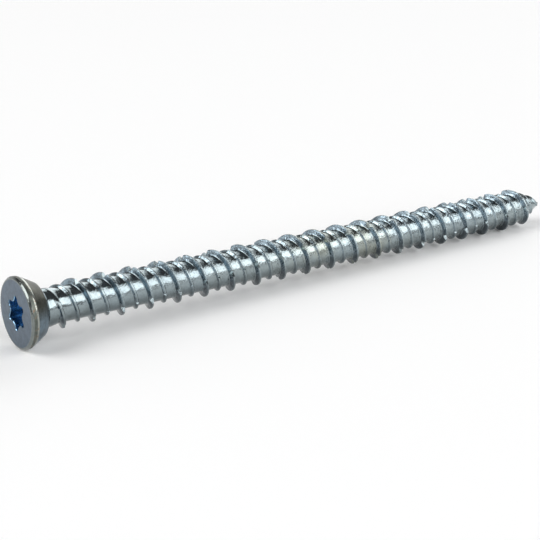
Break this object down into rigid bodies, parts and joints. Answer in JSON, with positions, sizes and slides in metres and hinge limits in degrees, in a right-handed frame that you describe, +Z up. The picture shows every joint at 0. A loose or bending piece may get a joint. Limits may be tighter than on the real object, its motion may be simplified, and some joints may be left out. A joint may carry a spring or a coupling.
{
  "type": "concrete screw",
  "caption": "Long countersunk concrete screw with a six-lobe recess, a high and a low thread side by side, notched crests and a short point. It fixes frames straight into a drilled hole.",
  "frame": {"origin": "centre of the bounding box's underside, on the ground the screw lies on", "axes": "+X from the head towards the point, +Z up. The screw lies on its head's rim and on a crest near the point, so its own axis slopes down by 1.16 degrees towards the point."},
  "size_m": [0.1122, 0.0116, 0.0116],
  "materials": {
    "zinc_plated_steel": "bright zinc plating, smooth and mirror-like on the rolled core, duller on the head's face"
  },
  "bodies": {
    "root": {"concrete_screw": "zinc_plated_steel"}
  },
  "joints": []
}
